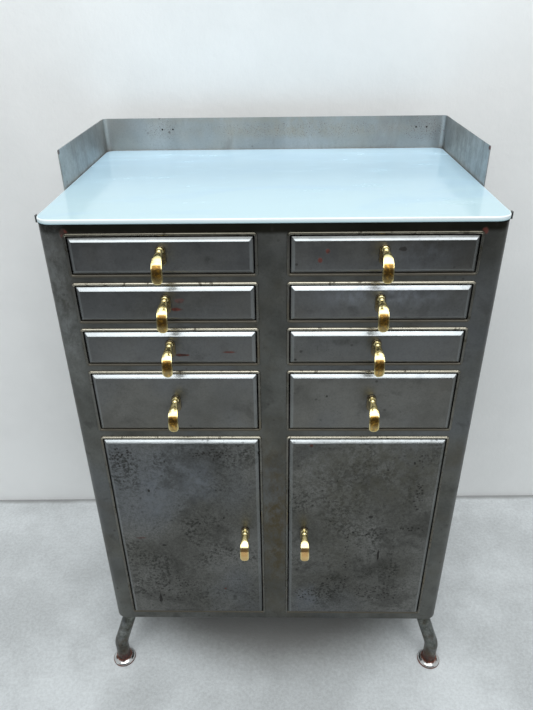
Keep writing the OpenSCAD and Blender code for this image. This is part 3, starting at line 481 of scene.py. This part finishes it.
finishes = {
    "body_steel": bodySteel, "front_steel": frontSteel, "door_steel": doorSteel,
    "rim_steel": rimSteel, "gallery_steel": gallerySteel, "inner_steel": innerSteel,
    "leg_steel": legSteel, "plated_steel": platedSteel, "pull_brass": brassFinish(),
    "opaline_glass": glassFinish(), "foot_chrome": footFinish(), "pad_rubber": rubberFinish(),
}
for part in frame["record"]["subparts"]:
    mesh = frame["nodes"][part["node"]].data
    mesh.materials.clear()
    mesh.materials.append(finishes[part["material_slot"]])
print("finishes made:", len(finishes))


# surfaces: quads between neighbouring rows and columns of a grid of points. The columns close into a
# ring, and so do the rows where they wrap.
def gridFaces(rows, cols, wrapRows):
    i = np.arange(rows if wrapRows else rows - 1)[:, None]
    j = np.arange(cols)[None, :]
    near, far = i * cols, (i + 1) % rows * cols
    return np.stack([near + j, near + (j + 1) % cols, far + (j + 1) % cols, far + j], -1).reshape(-1, 4)


# One mesh from several grids of points. Each grid is a dictionary: points[rows, cols, 3], and where
# they differ from the usual, marks, material, capped (its first and last rows closed) and wrapRows.
def makePiece(name, grids, slots, body, replaced, markName=None, angle=32):
    points, faces, marks, owners, start = [], [], [], [], 0
    for grid in grids:
        rows, cols = grid["points"].shape[:2]
        quads = gridFaces(rows, cols, grid.get("wrapRows", False)) + start
        faces += quads.tolist()
        owners += [grid.get("material", 0)] * len(quads)
        if grid.get("capped", True):
            faces += [list(range(start, start + cols))[::-1],
                list(range(start + (rows - 1) * cols, start + rows * cols))]
            owners += [grid.get("material", 0)] * 2
        points.append(grid["points"].reshape(-1, 3))
        marks.append(grid.get("marks", np.zeros((rows, cols))).reshape(-1))
        start += rows * cols
    mesh = bpy.data.meshes.new(name)
    mesh.from_pydata(np.concatenate(points).tolist(), [], faces)
    mesh.polygons.foreach_set("material_index", owners)
    if markName:
        layer = mesh.attributes.new(markName, "FLOAT", "POINT")
        layer.data.foreach_set("value", np.concatenate(marks).astype(np.float32))
    work = bmesh.new()
    work.from_mesh(mesh)
    bmesh.ops.remove_doubles(work, verts=work.verts, dist=1e-6)
    bmesh.ops.recalc_face_normals(work, faces=work.faces)
    work.to_mesh(mesh)
    work.free()
    mesh.shade_smooth()
    mesh.set_sharp_from_angle(angle=math.radians(angle))
    piece = bpy.data.objects.new(name, mesh)
    bpy.context.scene.collection.objects.link(piece)
    for slot in slots:
        mesh.materials.append(finishes[slot])
    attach(piece, body)
    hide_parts(*replaced)


# a line of corners with each one rounded: an arc of steps points between its two tangent points
def rounded(corners, radii, steps):
    corners = np.array(corners, float)
    out = [corners[:1]]
    for before, here, after, r in zip(corners[:-2], corners[1:-1], corners[2:], radii):
        if r == 0:
            out.append(here[None])
            continue
        a, b = ((other - here) / np.linalg.norm(other - here) for other in (before, after))
        half = math.acos(np.clip(a @ b, -1, 1)) / 2
        middle = here + (a + b) / np.linalg.norm(a + b) * r / math.sin(half)
        first, last = here + a * r / math.tan(half) - middle, here + b * r / math.tan(half) - middle
        whole = math.pi - 2 * half
        turn = np.linspace(0, 1, steps)[:, None] * whole
        out.append(middle + (np.sin(whole - turn) * first + np.sin(turn) * last) / math.sin(whole))
    return np.concatenate(out + [corners[-1:]])


# angles round the four quarters of a circle, each with its own end points
def cornerTurn(steps):
    return np.repeat(np.arange(4), steps) * math.pi / 2 + np.tile(np.linspace(0, math.pi / 2, steps), 4)


# rounded rectangles: half sizes, and one radius for each corner from the first quadrant on.
# Each corner is an arc about its own centre, from its own quarter of the circle.
def rectangleRings(halfW, halfH, radii, steps):
    turn = cornerTurn(steps).reshape(1, 4, steps)
    sx, sy = np.array([1, -1, -1, 1])[None, :, None], np.array([1, 1, -1, -1])[None, :, None]
    r = radii[:, :, None]
    x = sx * (halfW[:, None, None] - r) + r * np.cos(turn)
    y = sy * (halfH[:, None, None] - r) + r * np.sin(turn)
    return x.reshape(len(halfW), -1), y.reshape(len(halfW), -1)


# fronts of drawers and doors, in mm. The bow is how far the bevels swell, and the lap how far a front
# reaches past its solid on each side.
fronts = {
    "bevelW": 6.5, "bevelD": 5.0, "proud": 6.5, "sheet": 1.0, "bow": 0.45, "bowRadius": 22.0, "lap": 0.7,
    "fieldW": 14.0, "fieldEdge": 2.6, "baseEdge": 0.9, "lipEdge": 0.3, "innerEdges": (0.3, 0.6),
    "cornerBase": 1.8, "cornerField": 0.7, "cornerSteps": 5, "sideWearAndSheen": 0.25, "bottomWearAndSheen": 0.10,
}
# where the front sheet of the cabinet stands
faceY = -228.75


# A pan: one profile of (inset, depth) carried round a rectangle. Each point of the profile is a
# ring drawn in by its inset, so the bevels meet in mitres at the corners. Its mark is how bright a
# bevel is made: polish wear with a painted highlight, 1 along the top, less at the sides and least at the
# bottom.
def makeFront(name, node, slot, body):
    low, high = (np.array(v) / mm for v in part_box(node))
    s = fronts
    wide, deep, t = s["bevelW"], s["bevelD"], s["sheet"]
    back, base, field = high[1] - faceY, deep - s["proud"], wide + s["fieldW"]
    swell = s["bow"] / math.hypot(deep, wide)
    crown = (wide / 2 - swell * deep, base - deep / 2 - swell * wide)
    profile = [(field, -s["proud"]), (wide, -s["proud"]), crown, (0, base), (0, back),
        (t, back), (t, base + t * 0.4), (wide, t - s["proud"]), (field, t - s["proud"])]
    edges = [s["fieldEdge"], s["bowRadius"], s["baseEdge"], s["lipEdge"], s["lipEdge"], *s["innerEdges"]]
    inset, depth = rounded(profile, edges, 6).T
    share = np.clip(inset / wide, 0, 1)
    radius = s["cornerBase"] * (1 - share) + s["cornerField"] * share - 0.2 * inset * (inset < 1)
    radius = np.maximum(radius, 0.3)[:, None] * np.ones(4)
    half, middle = (high - low) / 2 + s["lap"], (low + high) / 2
    x, z = rectangleRings(half[0] - inset, half[2] - inset, radius, s["cornerSteps"])
    y = np.broadcast_to(depth[:, None], x.shape) + faceY
    points = np.stack([x + middle[0], y, z + middle[2]], -1) * mm
    bevel = np.clip((wide + 0.4 - inset) / 1.2, 0, 1) * (depth < base + 0.6)
    up = np.sin(cornerTurn(s["cornerSteps"]))
    upper = s["sideWearAndSheen"] + (1 - s["sideWearAndSheen"]) * up
    lower = s["sideWearAndSheen"] + (s["sideWearAndSheen"] - s["bottomWearAndSheen"]) * up
    marks = bevel[:, None] * np.where(up > 0, upper, lower)
    makePiece(name, [{"points": points, "marks": marks}], [slot], body, [node], "bevel")


for side in sides:
    for row in drawerRows:
        drawer = f"drawer_{side}_{row}"
        makeFront(drawer + "_panel", drawer + "_front", "front_steel", drawer)
    makeFront(f"door_{side}_panel", f"door_{side}_skin", "door_steel", f"door_{side}")
print("fronts made")


# rims, in mm
rim = {"width": 5.6, "gap": 2.0, "corner": 6.5, "cornerSteps": 9}


# Half-round beads: a half circle carried round a rounded rectangle. Their mark is the sine of the
# angle about the opening, so it is 1 on the top run, 0 on the upright ones and -1 on the bottom one.
def makeRims():
    turn = np.linspace(0, math.pi, 13)
    r = rim["width"] / 2
    inset, bulge = r * (1 - np.cos(turn)), -r * np.sin(turn)
    radius = np.maximum(rim["corner"] - inset, 0.4)[:, None] * np.ones(4)
    grids = []
    for side in sides:
        for front in [f"drawer_{side}_{row}_front" for row in drawerRows] + [f"door_{side}_skin"]:
            low, high = (np.array(v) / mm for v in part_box(front))
            half, middle = (high - low) / 2 + rim["gap"] + rim["width"], (high + low) / 2
            x, z = rectangleRings(half[0] - inset, half[2] - inset, radius, rim["cornerSteps"])
            y = np.broadcast_to(bulge[:, None], x.shape) + faceY
            points = np.stack([x + middle[0], y, z + middle[2]], -1) * mm
            marks = np.broadcast_to(np.sin(cornerTurn(rim["cornerSteps"])), x.shape)
            grids.append({"points": points, "marks": marks, "capped": False, "wrapRows": True})
    makePiece("rims", grids, ["rim_steel"], "cabinet", ["opening_rims"], "run")


makeRims()
print("rims made")


# glass, in mm
glass = {"arris": 1.3, "edge": 0.35, "field": 40.0, "frontCorner": 27.0, "rearCorner": 20.0}


# Plate: a profile of (inset, height) carried round a rectangle with its own radius at each corner.
# Its mark is 1 on the ground arris.
def makeGlass():
    low, high = (np.array(v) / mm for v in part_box("glass_top"))
    a, thick = glass["arris"], high[2] - low[2]
    profile = [(glass["field"], thick), (a + 0.7, thick), (a, thick), (0, thick - a), (0, a), (a, 0),
        (glass["field"], 0)]
    inset, height = rounded(profile, [0] + [glass["edge"]] * 4, 4).T
    corners = np.array([glass["rearCorner"]] * 2 + [glass["frontCorner"]] * 2)
    radius = np.maximum(corners - inset[:, None], 0.5)
    x, y = rectangleRings((high[0] - low[0]) / 2 - inset, (high[1] - low[1]) / 2 - inset, radius, 9)
    middle = (low + high) / 2
    z = np.broadcast_to(height[:, None], x.shape) + low[2]
    points = np.stack([x + middle[0], y + middle[1], z], -1) * mm
    ground = (height > thick - a - 0.3) & (inset < a + 0.3)
    marks = np.broadcast_to(ground[:, None] * 1.0, x.shape)
    makePiece("worktop_glass", [{"points": points, "marks": marks}], ["opaline_glass"], "cabinet",
        ["glass_top"], "arris")


makeGlass()
print("glass made")


# pulls, in mm, with angles in degrees from the top of the arm. The plate is (width, length, height),
# the post's turns are (height over the plate, radius), neck and paddle are (width, thickness), each
# ridge is (angle, spread, height), the screw (head radius, dome radius, head height) and the shank
# (reach, radius).
pulls = {
    "plate": (17.0, 34.0, 2.5), "plateDown": 27.0, "plateEdge": 0.9, "plateField": (3.0, 6.0),
    "post": ((0.6, 4.6), (1.2, 4.0), (1.8, 4.1), (2.2, 5.8), (3.6, 5.8), (4.2, 4.3)),
    "postEdges": (0.4, 0.3, 0.3, 0.6, 0.6, 0.5), "ballOut": 11.5, "ball": 5.6, "around": 28,
    "arm": 36.0, "drop": 33.4, "square": 2.8, "neck": (10.8, 7.6), "paddle": (17.5, 3.0),
    "ridges": ((9.0, 1.6, 0.32), (14.0, 1.4, 0.28)), "armFrom": -4.0, "armTo": 84.5, "widenOver": 74.0,
    "flatFrom": 12.0, "flatOver": 36.0, "crown": 0.22, "tipCentre": -30.48, "tipRadius": 8.75,
    "patinaAndReflection": 50.0, "patinaAndReflectionFade": (104.0, 30.0, 0.7), "patinaAndReflectionWide": 0.86, "plateMark": 1.6, "doorMark": -0.9,
    "screw": (4.0, 2.2, 2.2), "shank": (4.0, 2.0),
}
# the radius that a turned profile has at its ends, on the axis
axis = 0.01


# Turned piece about the post: rows of (out, radius) carried round it
def turnedRows(out, radius, count=pulls["around"]):
    turn = np.arange(count) / count * 2 * math.pi
    y = -np.broadcast_to(out[:, None], (len(out), count))
    return np.stack([radius[:, None] * np.cos(turn), y, radius[:, None] * np.sin(turn)], -1)


def turned(profile, radii, count=pulls["around"]):
    return turnedRows(*rounded(profile, radii, 5).T, count)


# Oval backplate: a stadium drawn in by the inset of a profile of (inset, height)
def pullPlate():
    width, length, thick = pulls["plate"]
    near, far = pulls["plateField"]
    profile = [(far, 0), (0, 0), (0, thick), (near, thick), (far, thick)]
    inset, height = rounded(profile, [0.2, pulls["plateEdge"], 0], 5).T
    radius = (width / 2 - inset[:, None]) * np.ones(4)
    x, z = rectangleRings(width / 2 - inset, length / 2 - inset, radius, 8)
    y = -np.broadcast_to(height[:, None], x.shape)
    return np.stack([x, y, z + length / 2 - pulls["plateDown"]], -1)


# Ball: a half circle turned about the post
def pullBall():
    tilt = np.linspace(0.02, math.pi - 0.02, 20)
    return turnedRows(pulls["ballOut"] - pulls["ball"] * np.cos(tilt), pulls["ball"] * np.sin(tilt))


# Arm: a section carried along an arc that is a superellipse, |out|^n + |up|^n = r^n, so that it turns
# down sooner than a circle does. The section is an oval at the neck, with ridges, and widens into a
# flat bar with a crowned face at the paddle, which has a round end. Its mark is 1 on the paddle's face,
# where the brass is painted brown as a dark reflection, partly tarnish.
def pullArm():
    s, neck, paddle = pulls, pulls["neck"], pulls["paddle"]
    first = np.linspace(s["armFrom"], s["armTo"], 46)
    # past the last even step, the tip closes as a half round
    end = np.linspace(0, 1, 12)[1:]
    tipZ = s["tipCentre"] - s["tipRadius"] * np.sin(end * math.pi / 2)
    last = np.degrees(np.arccos(np.clip((tipZ + s["drop"]) / (s["arm"] - 1.0), -1, 1)))
    angle = np.concatenate([first, last])
    close = np.concatenate([np.ones(len(first)), np.cos(end * math.pi / 2)])
    spread = np.sin(np.clip((angle - s["armFrom"]) / s["widenOver"], 0, 1) * math.pi / 2) ** 1.4
    wide = (neck[0] + (paddle[0] - neck[0]) * spread) / 2
    thick = (neck[1] + (paddle[1] - neck[1]) * np.clip(angle / 90, 0, 1)) / 2
    middle = s["arm"] - thick
    wide = wide * np.maximum(close, 0.04)
    thick = thick * np.maximum(close, 0.02) ** 0.3
    for at, reach, rise in s["ridges"]:
        swell = rise * np.exp(-((angle - at) / reach) ** 2)
        wide, thick = wide + swell, thick + swell
    angle, close = angle[:, None], close[:, None]
    turn = np.arange(s["around"]) / s["around"] * 2 * math.pi
    oval = np.stack([np.cos(turn), np.sin(turn)])
    # flat bar: across runs evenly, the outer face is crowned and its edges are cut back
    face = np.clip(oval[0] * 1.25, -1, 1)
    crown = np.where(oval[1] > 0, 1 - s["crown"] * face ** 2, 0.9)
    bar = np.stack([face, np.clip(oval[1] / 0.55, -1, 1) * crown])
    flat = np.clip((angle - s["flatFrom"]) / s["flatOver"], 0, 1)
    flat = flat * flat * (3 - 2 * flat)
    across = ((1 - flat) * oval[0] + flat * bar[0]) * wide[:, None]
    through = ((1 - flat) * oval[1] + flat * bar[1]) * thick[:, None]
    a, n = np.radians(angle), s["square"]
    stretch = (np.abs(np.sin(a)) ** n + np.abs(np.cos(a)) ** n) ** (-1 / n)
    radius = middle[:, None] * stretch + through
    points = np.stack([across, -(s["ballOut"] + radius * np.sin(a)), radius * np.cos(a) - s["drop"]], -1)
    fadeFrom, fadeOver, least = s["patinaAndReflectionFade"]
    marks = np.clip((angle - s["patinaAndReflection"]) / 2, 0, 1) * np.clip((s["patinaAndReflectionWide"] - np.abs(bar[0])) / 0.1, 0, 1)
    marks = marks * (oval[1] > 0.1) * np.clip((fadeFrom - angle) / fadeOver, least, 1)
    return points, marks * np.clip((close - 0.45) / 0.2, 0, 1)


def makePull(name, node, body):
    low, high = (np.array(v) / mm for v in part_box(node))
    faceOut = faceY - fronts["proud"]
    x, z = (low[0] + high[0]) / 2, high[2] + pulls["plateDown"] - pulls["plate"][1]
    base, foot, neck, ballOut = pulls["plate"][2], pulls["post"][0][1], pulls["post"][-1][1], pulls["ballOut"]
    turns = [(base + over, radius) for over, radius in pulls["post"]]
    turns = [(0, axis), (0, foot), *turns, (ballOut, neck), (ballOut, axis)]
    post = turned(turns, [0, *pulls["postEdges"], 0])
    # the screw comes from behind, with its head at the very back and its shank up in the post
    head, dome, thick = pulls["screw"]
    under = faceOut + thick - high[1]
    screw = turned([(under - 0.01, axis), (under, head), (under - thick + 1, head), (under - thick, dome),
        (under - thick, axis)], [0, 0.4, 0.6])
    reach, radius = pulls["shank"]
    shank = turned([(reach, axis), (reach, radius), (under, radius), (under, axis)], [0, 0], 14)
    place = np.array([x, faceOut, z])
    arm, patinaAndReflection = pullArm()
    # the door paddles are painted copper as a reflection of the floor, partly tarnish
    if "door" in name:
        patinaAndReflection = patinaAndReflection * pulls["doorMark"]
    plate = pullPlate()
    grids = [{"points": (plate + place) * mm, "marks": np.full(plate.shape[:2], pulls["plateMark"])}]
    grids += [{"points": (g + place) * mm} for g in (post, pullBall())]
    grids += [{"points": (arm + place) * mm, "marks": patinaAndReflection}]
    grids += [{"points": (g + place) * mm, "material": 1} for g in (screw, shank)]
    makePiece(name, grids, ["pull_brass", "plated_steel"], body, [node], "patinaAndReflection", 34)


for side in sides:
    for row in drawerRows:
        makePull(f"drawer_{side}_{row}_handle", f"drawer_{side}_{row}_pull", f"drawer_{side}_{row}")
    makePull(f"door_{side}_handle", f"door_{side}_pull", f"door_{side}")
print("pulls made")


# feet, in mm, each turn as (height, radius)
feet = {
    "turns": ((0, 24.6), (1.2, 26.0), (3.2, 26.0), (4.4, 25.0), (7.4, 23.2), (10.2, 19.6), (11.6, 16.4)),
    "edges": (0.8, 0.6, 0.6, 0.5, 2.0, 2.0, 1.0), "height": 12.0, "around": 40,
    "across": (-367.5, 367.5), "along": (-229.25, 256.75),
}


# Foot: a profile of (height, radius) turned about the leg
def makeFeet():
    profile = [(0, axis), *feet["turns"], (feet["height"], axis)]
    height, radius = rounded(profile, feet["edges"], 5).T
    turn = np.arange(feet["around"]) / feet["around"] * 2 * math.pi
    z = np.broadcast_to(height[:, None], (len(height), len(turn)))
    grids = []
    for x in feet["across"]:
        for y in feet["along"]:
            points = np.stack([radius[:, None] * np.cos(turn) + x, radius[:, None] * np.sin(turn) + y, z], -1)
            grids.append({"points": points * mm})
    makePiece("glides", grids, ["foot_chrome"], "cabinet", ["feet"])


makeFeet()
print("feet made")


# room, in metres
room = {
    "wallY": 0.322, "wallTurn": 0.016, "far": 12.0,
    "floor": ((0.53, 0.56, 0.565), (0.82, 0.87, 0.885)), "under": (0.20, 0.20, 0.19),
    "wallFootShade": (0.26, 0.265, 0.26), "wall": ((0.86, 0.875, 0.87), (0.94, 0.955, 0.95)),
}


def stagePlane(name, corners, material):
    mesh = bpy.data.meshes.new(name)
    mesh.from_pydata(corners, [], [[0, 1, 2, 3]])
    plane = bpy.data.objects.new(name, mesh)
    bpy.context.scene.collection.objects.link(plane)
    mesh.materials.append(material)
    return plane


# Floor: grain and clouds, with a painted shadow under the cabinet and painted shade along the foot of the
# wall
def floorFinish():
    f = Finish("paleFloor", Roughness=0.85)
    grain = f.step(f.noise(130, 6, 0.8), 0.36, 0.64)
    cloud = f.step(f.noise(3.6, 6, 0.62, shift=(2, 0, 0)), 0.34, 0.66)
    colour = f.blend(*room["floor"], grain * 0.4 + cloud * 0.6)
    # painted shadow under the cabinet
    colour = f.blend(colour, room["under"], f.patch((0, 0.03, 0), (0.46, 0.36, 0.3), 0.05) * 0.9)
    across, along = (f.node("ShaderNodeSeparateXYZ", None, {0: f.here}, i) for i in (0, 1))
    # painted shade in the corner at the foot of the wall
    fromWall = room["wallY"] + room["wallTurn"] * across - along + 0.012 * (f.noise(14, 4) - 0.5)
    wallFootShade = f.step(fromWall, 0.022, 0.004) * f.step(fromWall, -0.02, -0.01)
    f.feed("Base Color", f.blend(colour, room["wallFootShade"], wallFootShade * 0.8))
    f.bump(f.noise(160, 5, 0.7), 0.0008)
    return f.material


# a finish that is clear from behind
def oneSided(f):
    back = f.node("ShaderNodeNewGeometry", None, None, 6)
    clear = f.node("ShaderNodeBsdfTransparent")
    plain = Reading(f, f.shader.outputs[0])
    mixed = f.node("ShaderNodeMixShader", None, {0: back, 1: plain, 2: clear})
    f.tree.links.new(mixed.socket, f.tree.nodes["Material Output"].inputs["Surface"])
    return f.material


def wallFinish():
    f = Finish("paleWall", Roughness=0.9)
    cloud = f.step(f.noise(2.1, 5, 0.6), 0.3, 0.7)
    f.feed("Base Color", f.blend(*room["wall"], cloud))
    f.bump(f.noise(60, 5, 0.7), 0.0010)
    return oneSided(f)


far, back, turn = room["far"], room["wallY"], room["wallTurn"]
stagePlane("floor", [(-far, -far, 0), (far, -far, 0), (far, far, 0), (-far, far, 0)], floorFinish())
wall = stagePlane("wall", [(-far, back - far * turn, 0), (far, back + far * turn, 0),
    (far, back + far * turn, far), (-far, back - far * turn, far)], wallFinish())
wall.visible_shadow = wall.visible_diffuse = False

# a dark card close behind each pair of holes in the gallery: painted shade standing in for the shadow behind
# the gallery, so that the holes look dark from the front
holeCards = {"at": (-0.232, 0.320), "back": 0.264, "height": 1.137, "half": (0.017, 0.005)}
dark = oneSided(Finish("darkCard", **{"Base Color": (0.02, 0.02, 0.02), "Roughness": 1.0}))
for x in holeCards["at"]:
    (w, h), y, z = holeCards["half"], holeCards["back"], holeCards["height"]
    corners = [(x - w, y, z - h), (x + w, y, z - h), (x + w, y, z + h), (x - w, y, z + h)]
    holeCard = stagePlane("hole_card", corners, dark)
    holeCard.visible_shadow = holeCard.visible_diffuse = holeCard.visible_glossy = False

# a grey flag in front, low down, that only polished metal shows
flag = {"grey": (0.13, 0.135, 0.14), "wide": 2.6, "near": (-2.35, 0.01), "high": (-4.2, 2.66)}
grey = Finish("greyFlag", **{
    "Base Color": (0, 0, 0), "Roughness": 1.0, "Emission Color": flag["grey"], "Emission Strength": 1.0})
corners = [(-flag["wide"], *flag["near"]), (flag["wide"], *flag["near"]),
    (flag["wide"], *flag["high"]), (-flag["wide"], *flag["high"])]
card = stagePlane("flag", corners, grey.material)
card.visible_camera = card.visible_shadow = card.visible_diffuse = card.visible_transmission = False


# light: each lamp is (place, size, watts, colour), and faces lampAim
lights = {
    "key": ((0.0, -2.45, 3.05), (4.0, 2.2), 61, (0.97, 0.99, 1.0)),
    "top": ((0.1, 0.0, 3.3), (3.4, 2.4), 54, (0.98, 0.99, 1.0)),
}
lampAim = Vector((0, 0, 0.75))
for name, (place, size, power, colour) in lights.items():
    lamp = bpy.data.lights.new(name, "AREA")
    lamp.shape, lamp.size, lamp.size_y = "RECTANGLE", *size
    lamp.energy, lamp.color = power, colour
    holder = bpy.data.objects.new(name, lamp)
    bpy.context.scene.collection.objects.link(holder)
    holder.location = place
    holder.rotation_euler = (lampAim - Vector(place)).to_track_quat("-Z", "Y").to_euler()

# the world is one pale grey, brighter to the rays that polished metal sends out
skyTone = {"colour": (0.96, 0.98, 1.0, 1), "plain": 0.30, "polished": 0.62}
world = bpy.data.worlds.new("sky")
bpy.context.scene.world = world
world.use_nodes = True
nodes, links = world.node_tree.nodes, world.node_tree.links
sky, output = nodes["Background"], nodes["World Output"]
shiny, ray, mixed = (nodes.new("ShaderNode" + kind) for kind in ("Background", "LightPath", "MixShader"))
for each, strength in ((sky, skyTone["plain"]), (shiny, skyTone["polished"])):
    each.inputs[0].default_value = skyTone["colour"]
    each.inputs[1].default_value = strength
links.new(ray.outputs["Is Glossy Ray"], mixed.inputs[0])
links.new(sky.outputs[0], mixed.inputs[1])
links.new(shiny.outputs[0], mixed.inputs[2])
links.new(mixed.outputs[0], output.inputs["Surface"])
print("room and light ready")
